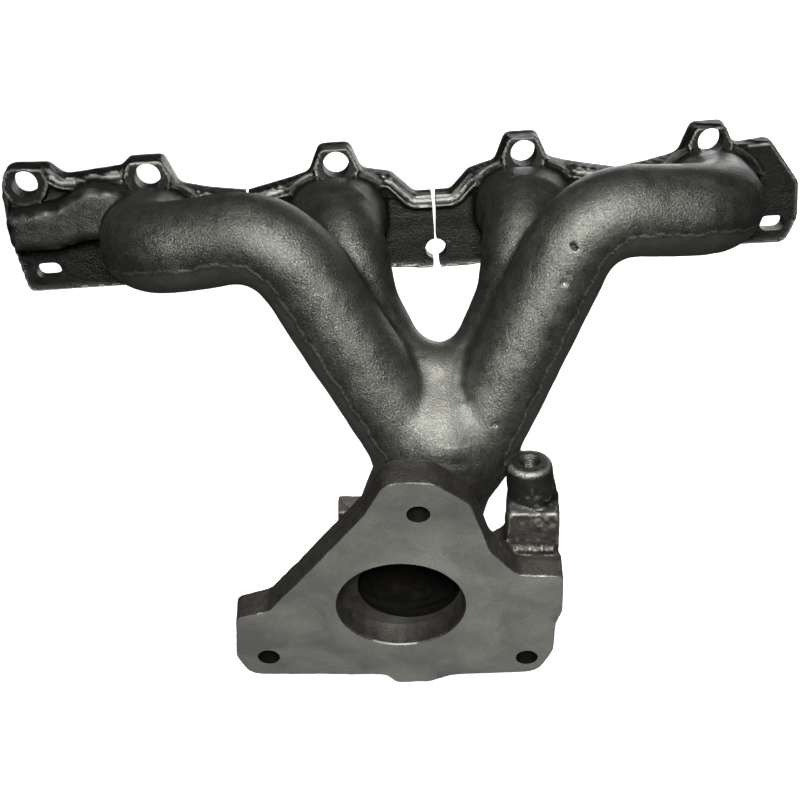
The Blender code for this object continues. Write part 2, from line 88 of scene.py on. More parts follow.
# Frames: x and y lie in the machined face; z points out of the metal, but into it for HEAD.
OUTLET = Matrix.Translation(OUTLET_AT) @ turned(-3.6, "Z") @ turned(112.0, "X") @ turned(-3.4, "Z")
POST = Matrix.Translation((38.4, -100.0, -103.0)) @ turned(10.0, "X")
HEAD = Matrix(((1, 0, 0, 0), (0, 0, -1, 0), (0, 1, 0, 0), (0, 0, 0, 1)))
MOULD_DOWN = np.array((0.0, -0.38, -0.92))      # the side of a tube its parting line runs on


# ---- plane shapes ----------------------------------------------------------------------
def blend_corners(corners, facets=6):
    """Closed outline whose corners carry the blend radius given with each."""
    out = []
    n = len(corners)
    for i in range(n):
        p = np.array(corners[i][0], float)
        back = np.array(corners[i - 1][0], float) - p
        ahead = np.array(corners[(i + 1) % n][0], float) - p
        lb, la = np.linalg.norm(back), np.linalg.norm(ahead)
        half = math.acos(max(-1.0, min(1.0, back @ ahead / lb / la))) / 2
        reach = min(corners[i][1] / math.tan(half), 0.48 * lb, 0.48 * la)
        a, b = p + back / lb * reach, p + ahead / la * reach
        for k in range(facets + 1):
            t = k / facets
            out.append((1 - t) ** 2 * a + 2 * t * (1 - t) * p + t * t * b)
    return np.array(out)


def outline_table(outline, step=0.6, margin=14.0):
    """Signed distance to a closed outline on a fine square table (negative inside)."""
    lo = outline.min(0) - margin
    n = np.ceil((outline.max(0) + margin - lo) / step).astype(int) + 1
    u, v = np.meshgrid(*(lo[k] + step * np.arange(n[k]) for k in range(2)), indexing="ij")
    best = np.full(u.shape, 1e9)
    inside = np.zeros(u.shape, bool)
    for (x0, y0), (x1, y1) in zip(outline, np.roll(outline, -1, 0)):
        dx, dy = x1 - x0, y1 - y0
        if dx * dx + dy * dy < 1e-12:
            continue
        t = np.clip(((u - x0) * dx + (v - y0) * dy) / (dx * dx + dy * dy), 0, 1)
        best = np.minimum(best, (u - x0 - t * dx) ** 2 + (v - y0 - t * dy) ** 2)
        cross = (y0 > v) != (y1 > v)
        inside ^= cross & (u < (x1 - x0) * (v - y0) / ((y1 - y0) if y1 != y0 else 1e-9) + x0)
    return lo, step, np.where(inside, -1.0, 1.0) * np.sqrt(best)


def look_up(table, u, v):
    """Distance from an outline_table, blended between its four nearest entries."""
    lo, step, d = table
    fu = np.clip((u - lo[0]) / step, 0, d.shape[0] - 1.001)
    fv = np.clip((v - lo[1]) / step, 0, d.shape[1] - 1.001)
    iu, iv = fu.astype(int), fv.astype(int)
    tu, tv = fu - iu, fv - iv
    return ((d[iu, iv] * (1 - tu) + d[iu + 1, iv] * tu) * (1 - tv)
            + (d[iu, iv + 1] * (1 - tu) + d[iu + 1, iv + 1] * tu) * tv)


def step_up(x, a, b):
    """0 below a, 1 above b, smooth between."""
    t = np.clip((x - a) / (b - a), 0, 1)
    return t * t * (3 - 2 * t)


def hump(x, middle, width):
    """1 at the middle, falling off like a bell."""
    return np.exp(-((x - middle) / width) ** 2)


def smin(a, b, k):
    """Union of two distances with a fillet of about k."""
    h = np.clip(0.5 + 0.5 * (b - a) / k, 0, 1)
    return b + (a - b) * h - k * h * (1 - h)


def smax(a, b, k):
    """Intersection of two distances with a rounded edge."""
    return -smin(-a, -b, k)


# ---- the field -------------------------------------------------------------------------
class Field:
    """Distance field on a regular grid; shapes are added only inside their own box.

    under is above 0 on the outer side of the mould's parting line."""

    def __init__(self, lo, n):
        self.lo = np.array(lo, float)
        self.n = np.array(n)
        self.d = np.full(self.n, FAR, np.float32)
        self.under = np.zeros(self.n, np.float32)

    def region(self, lo, hi):
        """The part of the grid inside a box, as slices and coordinates."""
        a = np.clip(np.floor((np.array(lo) - self.lo) / VOXEL).astype(int), 0, self.n - 1)
        b = np.clip(np.ceil((np.array(hi) - self.lo) / VOXEL).astype(int) + 1, a + 1, self.n)
        part = tuple(slice(i, j) for i, j in zip(a, b))
        axes = [self.lo[k] + VOXEL * np.arange(a[k], b[k]) for k in range(3)]
        x, y, z = np.meshgrid(*axes, indexing="ij", sparse=True)
        return part, x, y, z

    def join(self, shape, lo, hi, k):
        part, x, y, z = self.region(lo, hi)
        self.d[part] = smin(self.d[part], shape(x, y, z), k)

    def cut(self, shape, lo, hi, k=0.6):
        part, x, y, z = self.region(lo, hi)
        self.d[part] = smax(self.d[part], -shape(x, y, z), k)

    def roughen(self, lo, hi, pitch, amount, seed, ease=6.0):
        """Uneven sand-cast skin: random bumps of one pitch, fading out at the box's sides."""
        part, x, y, z = self.region(lo, hi)
        shape = [v.size for v in (x, y, z)]
        rng = np.random.default_rng(seed)
        coarse = rng.standard_normal([int(n * VOXEL / pitch) + 3 for n in shape]).astype(np.float32)
        for axis, n in enumerate(shape):
            s = np.arange(n) * VOXEL / pitch
            i = s.astype(int)
            t = step_up(s - i, 0, 1).astype(np.float32)
            t = t.reshape([-1 if k == axis else 1 for k in range(3)])
            coarse = np.take(coarse, i, axis) * (1 - t) + np.take(coarse, i + 1, axis) * t
        fade = 1.0
        for v, a, b in zip((x, y, z), lo, hi):
            fade = fade * step_up(v, a, a + ease) * (1 - step_up(v, b - ease, b))
        self.d[part] += (coarse * amount * fade).astype(np.float32)


def bent_line(corners, bends, pitch=3.0):
    """Evenly spaced points on straight lengths joined by circular bends."""
    pts = [Vector(c) for c in corners]
    path = [pts[0]]
    for i in range(1, len(pts) - 1):
        back, ahead = (pts[i - 1] - pts[i]).normalized(), (pts[i + 1] - pts[i]).normalized()
        half = back.angle(ahead) / 2.0
        centre = pts[i] + (back + ahead).normalized() * (bends[i - 1] / math.sin(half))
        reach = bends[i - 1] / math.tan(half)
        a = (pts[i] + back * reach - centre).normalized()
        b = (pts[i] + ahead * reach - centre).normalized()
        path += [centre + a.slerp(b, k / 12) * bends[i - 1] for k in range(13)]
    path.append(pts[-1])
    run = np.concatenate([[0], np.cumsum([(q - p).length for p, q in zip(path, path[1:])])])
    want = np.linspace(0, run[-1], int(run[-1] / pitch) + 2)
    line = np.array([[np.interp(s, run, [p[i] for p in path]) for i in range(3)] for s in want])
    return line, want / run[-1]


def add_tube(field, line, radii, k, cut=False, outward=0.0):
    """A swept round bar of changing radius, as a chain of cones, joined or cut in one go.

    outward (-1 or 1) gives the tube a mould parting line along its lower outer side: a wavy
    ridge, and a skin that stands a little prouder beyond it."""
    reach = max(radii) + (5.0 if cut else 12.0)
    part, x, y, z = field.region(line.min(0) - reach, line.max(0) + reach)
    own = Field((x.flat[0], y.flat[0], z.flat[0]), (x.size, y.size, z.size))
    for i in range(len(line) - 1):
        a, b, ra, rb = line[i], line[i + 1], radii[i], radii[i + 1]
        piece, px, py, pz = own.region(np.minimum(a, b) - reach, np.maximum(a, b) + reach)
        e = b - a
        t = np.clip(((px - a[0]) * e[0] + (py - a[1]) * e[1] + (pz - a[2]) * e[2]) / (e @ e), 0, 1)
        dx, dy, dz = px - a[0] - t * e[0], py - a[1] - t * e[1], pz - a[2] - t * e[2]
        dist = np.sqrt(dx * dx + dy * dy + dz * dz) - (ra + (rb - ra) * t)
        nearer = dist < own.d[piece]
        own.d[piece] = np.where(nearer, dist, own.d[piece])
        if outward:
            way = e / np.linalg.norm(e)
            g = MOULD_DOWN + np.array((outward * 1.1 * abs(way[2]), 0.0, 0.0))
            g = g - way * (g @ way)
            g = g / np.linalg.norm(g)
            wave = 0.02 * np.sin((i + t) * 0.9) + 0.012 * np.sin((i + t) * 2.3)
            over = (dx * g[0] + dy * g[1] + dz * g[2]) / ra - (0.66 + 0.17 * abs(way[2]) + wave)
            own.under[piece] = np.where(nearer, over, own.under[piece])
    if outward:
        start = step_up(np.abs(x) + 0 * y + 0 * z, 0, 1) * step_up(-y, 28, 40)
        own.d -= start * (0.2 * hump(own.under, 0, 0.036) + 0.15 * step_up(own.under, -0.01, 0.01))
        closer = own.d < field.d[part] + 1.0
        side = np.clip(own.under * 30.0, -1, 1) * start
        field.under[part] = np.where(closer, side, field.under[part])
    field.d[part] = smax(field.d[part], -own.d, k) if cut else smin(field.d[part], own.d, k)


def oval_distance(u, v, half_w, half_h, power=2.4):
    """Rough distance to an oval that is a little squarer than an ellipse."""
    r = (np.abs(u / half_w) ** power + np.abs(v / half_h) ** power) ** (1 / power)
    return (r - 1) * np.minimum(half_w, half_h)


def local(m, x, y, z):
    """Coordinates in another frame, through its inverse matrix."""
    return tuple(m[i, 0] * x + m[i, 1] * y + m[i, 2] * z + m[i, 3] for i in range(3))


to_outlet = np.array(OUTLET.inverted())
to_post = np.array(POST.inverted())


# ---- head flange -----------------------------------------------------------------------
def ear(x):
    """Top-edge corners of one stud ear, left to right."""
    return [((x - 13.5, 24.0), 5.0), ((x - 7.6, 37.8), 4.0), ((x + 8.4, 37.8), 4.0),
            ((x + 14.0, 24.0), 5.0)]


FLANGE_OUTLINE = (
    [((-212.0, -30.5), 6.0), ((-218.0, -2.0), 8.0), ((-219.5, 22.0), 8.0), ((-215.5, 38.2), 7.0),
     ((-193.5, 37.2), 5.0), ((-186.0, 30.6), 8.0), ((-157.0, 33.2), 4.0), ((-152.0, 37.6), 4.0),
     ((-134.8, 37.6), 4.0), ((-128.0, 22.0), 6.0), ((-112.0, 18.5), 8.0), ((-94.0, 15.8), 3.0),
     ((-70.0, 21.5), 8.0)] + ear(PORT_X[1])
    + [((-18.5, 21.0), 6.0), ((-7.5, 9.8), 5.0), ((11.0, 10.0), 5.0), ((20.5, 20.0), 6.0)]
    + ear(PORT_X[2])
    + [((70.0, 21.5), 8.0), ((98.0, 15.8), 3.0), ((112.0, 18.0), 8.0), ((129.5, 22.0), 6.0),
       ((136.4, 37.0), 4.0), ((152.6, 37.5), 4.0), ((158.0, 25.0), 6.0), ((177.0, 27.0), 6.0),
       ((192.5, 4.0), 5.0), ((192.5, -15.0), 5.0), ((186.0, -29.0), 8.0), ((98.0, -29.2), 3.0),
       ((24.0, -30.5), 4.0), ((2.0, -31.6), 2.0), ((-20.0, -29.6), 4.0), ((-94.0, -30.0), 3.0)]
)
flange_table = outline_table(blend_corners(FLANGE_OUTLINE, 4))


def flange_shape(x, y, z):
    """Plate with a recessed front field; its upper edges carry stepped rim beads."""
    edge = look_up(flange_table, x + 0 * z, z + 0 * x)
    deep = -edge
    base = 8.4 * step_up(deep, -0.5, 0.9)
    rim = (1.5 * step_up(deep, 1.9, 2.5) + 1.5 * step_up(deep, 4.3, 4.9)
           - 2.6 * step_up(deep, 7.2, 8.6) + 0.7 * hump(deep, 5.9, 0.8))
    upper = step_up(z + 0 * x, -10.0, -2.0) * (1 - step_up(x + 0 * z, 158.0, 168.0))
    low_lip = 0.7 * hump(deep, 1.6, 0.9) * (1 - step_up(z + 0 * x, -20.0, -14.0))
    facet = np.clip((x - 172.0) * 0.06, 0, 1.2) * step_up(deep, -0.5, 1.0)
    thick = base + rim * upper + low_lip + facet
    for sx in STUDS:
        r = np.sqrt((x - sx) ** 2 + (z - STUD_Z) ** 2)
        disc = (1 - step_up(r, SEAT_R + 0.4, SEAT_R + 2.0)) * step_up(deep, -0.4, 0.8)
        thick = np.maximum(thick, (FLANGE_T + 0.3) * disc)
    return smax(smax(edge, -y - thick, 0.7), y - 3.0, 0.5)


casting = Field((-226, -152, -250), np.ceil(np.array((426, 157, 294)) / VOXEL).astype(int) + 1)
casting.join(flange_shape, (-223, -16, -35), (196, 5, 41), 0.01)
casting.roughen((-224, -16, -36), (198, 4, 42), 2.8, 0.05, 11, 1.0)

# ---- runners ---------------------------------------------------------------------------
OUTER = (
    ((-144.0, 6.0, PORT_Z), (-144.5, -62.0, 4.0), (-77.5, -74.0, 14.0), (-16.0, -81.0, -100.0)),
    ((144.0, 6.0, PORT_Z), (142.5, -62.0, 7.0), (72.0, -74.0, 14.0), (12.8, -81.0, -100.0)),
)
INNER = (
    ((-48.0, 6.0, PORT_Z), (-45.5, -46.0, 5.0), (-39.5, -52.0, -34.0), (-14.0, -66.0, -92.0)),
    ((48.0, 6.0, PORT_Z), (44.5, -46.0, 5.0), (38.6, -52.0, -34.0), (10.0, -66.0, -92.0)),
)
OUTER_BENDS, INNER_BENDS = (28.0, 36.0), (24.0, 45.0)


def root_shape(px, grow=0.0, taper=(0.0, 0.0)):
    """Oval root of a runner at its port, drawing in towards the round tube.

    taper lowers its middle and its height just behind the face."""
    def shape(x, y, z):
        t = step_up(-y, 12.0, 42.0)
        half_w = (PORT_W / 2 + PORT_WALL + grow) * (1 - t) + (19.5 + grow) * t
        half_h = (PORT_H / 2 + PORT_WALL + grow) * (1 - t) + (19.0 + grow) * t
        draft = step_up(-y, 0, 12)
        d = oval_distance(x - px, z - PORT_Z + taper[0] * draft, half_w, half_h - taper[1] * draft)
        return smax(d, -y - 36.0, 6.0)
    return shape


def collar_shape(px):
    """Thin bead that runs round the top of a root."""
    def shape(x, y, z):
        d = oval_distance(x - px, z - PORT_Z, PORT_W / 2 + PORT_WALL, PORT_H / 2 + PORT_WALL)
        return smax(np.sqrt((d - 2.2) ** 2 + (y + 9.8) ** 2) - 1.5, 9.0 - z + 0 * x, 1.5)
    return shape


outer_lines = [bent_line(c, OUTER_BENDS) for c in OUTER]
inner_lines = [bent_line(c, INNER_BENDS) for c in INNER]
for px in PORT_X:
    casting.join(root_shape(px), (px - 36, -50, -36), (px + 36, 5, 38), 3.0)
    casting.join(collar_shape(px), (px - 36, -14, 4), (px + 36, -4, 38), 0.8)
for line, t in inner_lines:
    add_tube(casting, line, INNER_R + t, 5.0)
down = np.linspace(0.0, 1.0, 16)
web_line = np.stack([-3.0 - 0.5 * down, -68.5 - 7.5 * down, -69.6 - 28.4 * down], 1)
add_tube(casting, web_line, 18.0 + 12.0 * down, 14.0)
for side, (line, t) in zip((-1.0, 1.0), outer_lines):
    add_tube(casting, line, OUTER_R - 0.2 * t, 4.0, outward=side)

# ---- collector and neck ----------------------------------------------------------------
NECK = (        # x, y, z, outside radius, passage radius
    (-3.5, -76.0, -98.0, 30.5, 27.0), (-4.8, -75.5, -109.0, 32.8, 27.3),
    (-8.6, -73.0, -122.0, 30.6, 25.6), (-14.4, -74.0, -137.0, 31.0, 26.0),
    (-21.0, -81.0, -152.0, 32.2, 26.6), (-27.5, -93.0, -165.0, 33.0, 26.6),
    (-29.0, -101.0, -170.0, 33.0, 26.6),
)
neck_line, neck_r, neck_bore = np.array(NECK)[:, :3], np.array(NECK)[:, 3], np.array(NECK)[:, 4]
add_tube(casting, neck_line, neck_r, 7.0)

# ---- gas passages ----------------------------------------------------------------------
uncored = casting.d.copy()      # tells gas-side faces from outer ones when the pieces are dressed
BEHIND_ROOT = 5                 # the round passages begin this many points along their line
for px in PORT_X:
    casting.cut(root_shape(px, -PORT_WALL, (1.6, 1.2)), (px - 24, -50, -24), (px + 24, 5, 24), 0.8)
for lines, bore, growth in ((inner_lines, INNER_BORE, 0.6), (outer_lines, OUTER_BORE, -0.2)):
    for line, t in lines:
        add_tube(casting, line[BEHIND_ROOT:], bore + growth * t[BEHIND_ROOT:], 3.0, cut=True)
add_tube(casting, neck_line, neck_bore, 3.0, cut=True)
web_bore = np.array([(-3.0, -71.0, -74.0), (-3.5, -75.0, -98.0)])
add_tube(casting, web_bore, [10.0, 24.0], 3.0, cut=True)

# ---- outlet flange ---------------------------------------------------------------------
OUTLET_OUTLINE = (
    ((-83.8, -11.5), 5.0), ((-85.4, -42.0), 13.0), ((-79.0, -58.0), 10.0), ((-8.0, -58.5), 5.0),
    ((-2.0, -65.0), 5.0), ((14.5, -65.0), 6.0), ((28.0, -58.5), 10.0), ((72.0, -55.5), 11.0),
    ((79.0, -37.0), 12.0), ((79.0, -15.0), 5.0), ((81.3, -5.0), 4.0), ((79.8, 23.0), 3.0),
    ((57.0, 24.0), 9.0), ((43.0, 42.0), 14.0), ((33.0, 75.0), 12.0), ((14.0, 90.5), 13.0),
    ((-8.0, 90.5), 12.0), ((-17.5, 68.0), 14.0), ((-66.0, -4.5), 8.0),
)
BLOCK_OUTLINE = (
    ((28.0, 4.0), 2.0), ((78.4, 4.0), 4.0), ((78.0, 46.5), 3.0), ((52.6, 46.5), 3.0),
    ((52.6, 20.0), 6.0), ((44.0, 13.0), 6.0), ((28.0, 12.0), 2.0),
)


def plate_shape(table, low, high, soft, lean=0.0):
    """Plate in the outlet frame between two depths; lean slopes its front back as it rises."""
    def shape(x, y, z):
        a, u, w = local(to_outlet, x, y, z)
        top = high - lean * np.clip(u - 24.0, 0, 30)
        return smax(smax(look_up(table, a, u), w - top, soft), low - w, soft)
    return shape


def post_shape(x, y, z):
    """Round boss, slightly tapered, that leans as it goes down into the block."""
    a, b, c = local(to_post, x, y, z)
    r = np.sqrt((a - 1.6 * step_up(-c, 0, 26)) ** 2 + b ** 2) - (11.5 + 1.0 * step_up(-c, 2, 26))
    return smax(smax(r, c, 3.6), -c - 32.0, 2.0)


def lug_shape(x, y, z):
    """Small square lug behind the upper left edge of the plate."""
    a, u, w = local(to_outlet, x, y, z)
    side = smax(np.abs(a + 16.0) - 15.0, np.abs(u - 42.2) - 6.2, 1.5)
    return smax(side, np.abs(w + 25.0) - 6.0, 1.5)


def bead_shape(x, y, z):
    """Uneven ridge where the sloping block meets the back edge of the outlet plate."""
    a, u, w = local(to_outlet, x, y, z)
    r = np.sqrt((u - 25.4 - 0.35 * np.sin(a * 1.1)) ** 2 + (w + 15.6) ** 2)
    return smax(r - 2.1 - 0.25 * np.sin(a * 2.1), np.abs(a - 64.0) - 12.5, 2.5)


outlet_table = outline_table(blend_corners(OUTLET_OUTLINE))
block_table = outline_table(blend_corners(BLOCK_OUTLINE))
outlet_plate = plate_shape(outlet_table, -OUTLET_T, 0.65, 1.5)
block_plate = plate_shape(block_table, -37.0, -15.0, 1.4, 0.22)
casting.join(outlet_plate, (-120, -152, -250), (60, -70, -80), 2.0)
casting.join(block_plate, (-10, -135, -190), (62, -55, -112), 2.0)
casting.join(post_shape, (20, -125, -150), (62, -75, -95), 1.2)
casting.join(lug_shape, (-70, -125, -145), (-25, -70, -105), 2.0)
casting.join(bead_shape, (15, -150, -170), (60, -90, -120), 0.6)

# ---- end rib ---------------------------------------------------------------------------
RIB_OUTLINE = (
    ((-216.0, 17.0), 6.0), ((-213.5, -2.5), 6.0), ((-190.0, -3.0), 10.0), ((-176.0, 1.0), 8.0),
    ((-150.0, 1.0), 3.0), ((-150.0, 24.0), 3.0), ((-172.0, 29.0), 12.0), ((-190.0, 19.0), 10.0),
)
rib_table = outline_table(blend_corners(RIB_OUTLINE))


def rib_shape(x, y, z):
    """Thick rounded rib from the left end ear to the first runner."""
    edge = look_up(rib_table, x + 0 * z, z + 0 * x)
    return smax(edge, np.abs(y + 16.0) - 12.5, 6.0)


def rib_crest_shape(x, y, z):
    """Raised crest that follows the rib's upper edge."""
    edge = look_up(rib_table, x + 0 * z, z + 0 * x)
    ring = np.sqrt((edge + 2.6) ** 2 + (y + 19.0) ** 2) - 1.5
    return smax(ring, 14.0 - z + 0 * x, 1.5)


casting.join(rib_shape, (-222, -34, -12), (-145, 0, 36), 2.0)
casting.join(rib_crest_shape, (-216, -26, 8), (-158, -12, 32), 1.0)

# ---- spot faces for the stud nuts, bitten out of the roots -----------------------------
for sx in STUDS:
    casting.cut(lambda x, y, z: smax(np.sqrt((x - sx) ** 2 + (z - STUD_Z) ** 2) - SEAT_R,
                                     np.abs(y + FLANGE_T + SEAT_DEPTH / 2) - SEAT_DEPTH / 2, 0.3),
                (sx - 16, -26, 12), (sx + 16, -8, 44), 0.3)

# ---- uneven skin, lumps and pits -------------------------------------------------------
ROUGH_PATCHES = (       # box, pitch, amount, seed, ease
    ((-226, -152, -250), (200, 5, 44), 14.0, 0.16, 1, 6.0),         # whole casting, long waves
    ((-226, -152, -250), (200, -10, 44), 4.0, 0.07, 2, 6.0),        # whole casting, short ones
    ((20, -126, -150), (60, -88, -112), 2.6, 0.16, 3, 3.0),         # bracket block
    ((34, -122, -137), (54, -98, -118), 2.2, 0.4, 7, 6.0),          # lumps at the boss's foot
    ((-120, -135, -205), (-72, -105, -165), 3.4, 0.3, 4, 8.0),      # left arm of the outlet plate
    ((-60, -125, -225), (5, -70, -130), 5.0, 0.2, 5, 10.0),         # neck
)
PITS = ((61.6, -95.5, 4.4, 1.5), (63.0, -95.5, 2.6, 1.2), (57.3, -97.3, -13.3, 1.2),
        (-92.0, -95.5, 12.0, 0.9), (-34.0, -103.0, -74.0, 0.9), (22.0, -101.0, -82.0, 0.8))
for patch in ROUGH_PATCHES:
    casting.roughen(*patch)
for px, py, pz, r in PITS:
    casting.cut(lambda x, y, z: np.sqrt((x - px) ** 2 + (y - py) ** 2 + (z - pz) ** 2) - r,
                (px - 5, py - 5, pz - 5), (px + 5, py + 5, pz + 5), 0.5)

# ---- mesh helpers ----------------------------------------------------------------------
def new_object(name, data):
    """Object in the scene, for a mesh, a lamp or a camera."""
    obj = bpy.data.objects.new(name, data)
    bpy.context.scene.collection.objects.link(obj)
    return obj


def coords(mesh, kind, field_name):
    """One vector per vertex or face, as rows of an array."""
    items = getattr(mesh, kind)
    out = np.zeros(len(items) * 3, np.float32)
    items.foreach_get(field_name, out)
    return out.reshape(-1, 3).astype(float)


def volume(mesh):
    """Signed volume: below 0 when the faces look inwards."""
    mesh.calc_loop_triangles()
    corners = np.zeros(len(mesh.loop_triangles) * 3, np.int32)
    mesh.loop_triangles.foreach_get("vertices", corners)
    p = coords(mesh, "vertices", "co")[corners.reshape(-1, 3)]
    return float(np.einsum("ij,ij->i", p[:, 0], np.cross(p[:, 1], p[:, 2])).sum() / 6)


def field_mesh(field, name):
    """Closed mesh of the surface where the field is 0."""
    grid = openvdb.FloatGrid(FAR)
    grid.copyFromArray(field.d)
    points, triangles, quads = grid.convertToPolygons(0.0, 0.0)
    verts = (points * VOXEL + field.lo) * MM
    mesh = bpy.data.meshes.new(name)
    mesh.from_pydata(verts.tolist(), [], quads.tolist() + triangles.tolist())
    if volume(mesh) < 0:
        mesh.flip_normals()
    return new_object(name, mesh)


def carve(obj, tool, operation="DIFFERENCE", keep=False):
    """Applies one boolean and drops the tool unless it is kept."""
    mod = obj.modifiers.new("machining", "BOOLEAN")
    mod.operation = operation
    mod.solver = "MANIFOLD"
    mod.object = tool
    graph = bpy.context.evaluated_depsgraph_get()
    mesh = bpy.data.meshes.new_from_object(obj.evaluated_get(graph))
    obj.modifiers.clear()
    old = obj.data
    obj.data = mesh
    bpy.data.meshes.remove(old)
    if not keep:
        bpy.data.objects.remove(tool)
    return obj


def prism(name, outline, low, high, to_world=HEAD, flare=0.0):
    """Solid between two depths of an outline; flare widens its upper end from its middle."""
    n = len(outline)
    mid = np.mean(outline, 0)
    verts = []
    for w, k in ((low, 0.0), (high, flare)):
        for p in outline:
            q = mid + (np.array(p) - mid) * (1 + k)
            verts.append(to_world @ Vector((q[0], q[1], w)) * MM)
    faces = [(i, (i + 1) % n, n + (i + 1) % n, n + i) for i in range(n)]
    faces += [tuple(range(n))[::-1], tuple(n + i for i in range(n))]
    mesh = bpy.data.meshes.new(name)
    mesh.from_pydata(verts, [], faces)
    bm = bmesh.new()
    bm.from_mesh(mesh)
    bmesh.ops.recalc_face_normals(bm, faces=bm.faces)
    bm.to_mesh(mesh)
    bm.free()
    return new_object(name, mesh)


def block(lo, hi, to_world=Matrix.Identity(4), pitch=9.0):
    """Box with finely divided sides, so that what it cuts stays finely divided."""
    n = [max(1, int(round((b - a) / pitch))) for a, b in zip(lo, hi)]
    verts, faces, index = [], [], {}

    def at(i, j, k):
        if (i, j, k) not in index:
            p = [lo[c] + (hi[c] - lo[c]) * q / n[c] for c, q in enumerate((i, j, k))]
            index[i, j, k] = len(verts)
            verts.append(to_world @ Vector(p) * MM)
        return index[i, j, k]

    for c in range(3):
        d, e = (c + 1) % 3, (c + 2) % 3
        for end in (0, n[c]):
            for i in range(n[d]):
                for j in range(n[e]):
                    quad = []
                    for di, dj in ((0, 0), (1, 0), (1, 1), (0, 1)):
                        key = [0, 0, 0]
                        key[c], key[d], key[e] = end, i + di, j + dj
                        quad.append(at(*key))
                    faces.append(quad if end else quad[::-1])
    mesh = bpy.data.meshes.new("block")
    mesh.from_pydata(verts, [], faces)
    return new_object("block", mesh)


def circle(x, y, r, n=48):
    turns = [math.tau * i / n for i in range(n)]
    return [(x + r * math.cos(t), y + r * math.sin(t)) for t in turns]


def thread_tool(name, at, radius, low, high, to_world):
    """Tapped hole: a bar with a helical ridge."""
    around, rise = 32, THREAD_PITCH / 6
    rows = int((high - low) / rise)
    verts, faces = [], []
    for r in range(rows + 1):
        w = low + (high - low) * r / rows
        for i in range(around):
            t = math.tau * i / around
            phase = (w / THREAD_PITCH - i / around) % 1.0
            rad = radius - THREAD_DEPTH + 2 * THREAD_DEPTH * abs(2 * phase - 1)
            p = Vector((at[0] + rad * math.cos(t), at[1] + rad * math.sin(t), w))
            verts.append(to_world @ p * MM)
    for r in range(rows):
        a, b = r * around, (r + 1) * around
        for i in range(around):
            j = (i + 1) % around
            faces.append((a + i, a + j, b + j, b + i))
    faces.append(tuple(range(around))[::-1])
    faces.append(tuple(rows * around + i for i in range(around)))
    mesh = bpy.data.meshes.new(name)
    mesh.from_pydata(verts, [], faces)
    return new_object(name, mesh)


body = field_mesh(casting, "casting")

# ---- machining -------------------------------------------------------------------------
carve(body, block((-260, 0, -60), (260, 30, 60)))
carve(body, block((-110, -90, 0), (110, 120, 60), OUTLET))

# outlet bore, its edge and the start of the passage behind it
bore = circle(0, 0, BORE_R, 96)
carve(body, prism("bore", bore, -BORE_DEPTH, CLEAR, OUTLET))
carve(body, prism("bore_edge", bore, -EDGE_BREAK, EDGE_BREAK, OUTLET, 2 * EDGE_BREAK / BORE_R))
passage = circle(PASSAGE_OFFSET, 0, PASSAGE_R, 72)
carve(body, prism("passage", passage, -OUTLET_T - 2.0, -BORE_DEPTH + 1.0, OUTLET))

# stud holes, whose cutters end inside the open spot faces, and the two slots
for sx in STUDS:
    carve(body, prism("stud", circle(sx, STUD_Z, STUD_R), -CLEAR, FLANGE_T + SEAT_DEPTH - 0.5))
half, end_r = (SLOT_W - SLOT_H) / 2, SLOT_H / 2
quarter = np.linspace(-math.pi / 2, math.pi / 2, 14)
for sx, sz in SLOTS:
    ends = [(sx + side * (half + end_r * math.cos(t)), sz + side * end_r * math.sin(t))
            for side in (1, -1) for t in quarter]
    carve(body, prism("slot", ends, -CLEAR, THROUGH))

# central slit with its keyhole and mouth, and the two plain saw cuts
SLIT = ((-1.25, 16.0), (1.25, 16.0), (0.9, 4.0), (1.05, 0.0), (0.5, -12.0), (0.5, -17.0),
        (-0.6, -17.0), (-0.5, -8.0), (-0.8, 1.0))
MOUTH = ((-1.5, -22.0), (1.5, -22.0), (1.6, -28.5), (2.6, -31.0), (3.2, -35.0),
         (-3.0, -35.0), (-2.4, -31.0), (-1.5, -28.5))
SAW = ((-SAW_CUT / 2, -40.0), (SAW_CUT / 2, -40.0), (SAW_CUT / 2, 30.0), (-SAW_CUT / 2, 30.0))
carve(body, prism("keyhole", circle(*KEYHOLE, 36), -CLEAR, THROUGH))
for cut_x, outline in ((CUT_X[1], SLIT), (CUT_X[1], MOUTH), (CUT_X[0], SAW), (CUT_X[2], SAW)):
    carve(body, prism("slit", [(x + cut_x, z) for x, z in outline], -CLEAR, THROUGH))

# tapped holes with their countersinks
for at in OUTLET_HOLES:
    carve(body, thread_tool("tapping", at, OUTLET_HOLE_R, -OUTLET_T - 6.0, CLEAR, OUTLET))
    carve(body, prism("countersink", circle(*at, OUTLET_HOLE_R, 48), -1.5, 1.5, OUTLET, 0.6))
carve(body, thread_tool("post_tapping", (0, 0), POST_HOLE_R, -POST_HOLE_DEPTH, CLEAR, POST))
carve(body, prism("post_countersink", circle(0, 0, POST_HOLE_R, 48), -1.6, 1.6, POST, 0.8))


# ---- division into the regions of the CAD nodes ----------------------------------------
def take(source, tool, name):
    """Moves what lies inside the tool from source into a new object."""
    part = new_object(name, source.data.copy())
    carve(part, tool, "INTERSECT", keep=True)
    carve(source, tool)
    return part


def half_space(point, normal):
    """Large block on the negative side of a plane."""
    turn = Vector(normal).to_track_quat("Z", "Y").to_matrix().to_4x4()
    return block((-300, -300, -500), (300, 300, 0), Matrix.Translation(point) @ turn, 20.0)


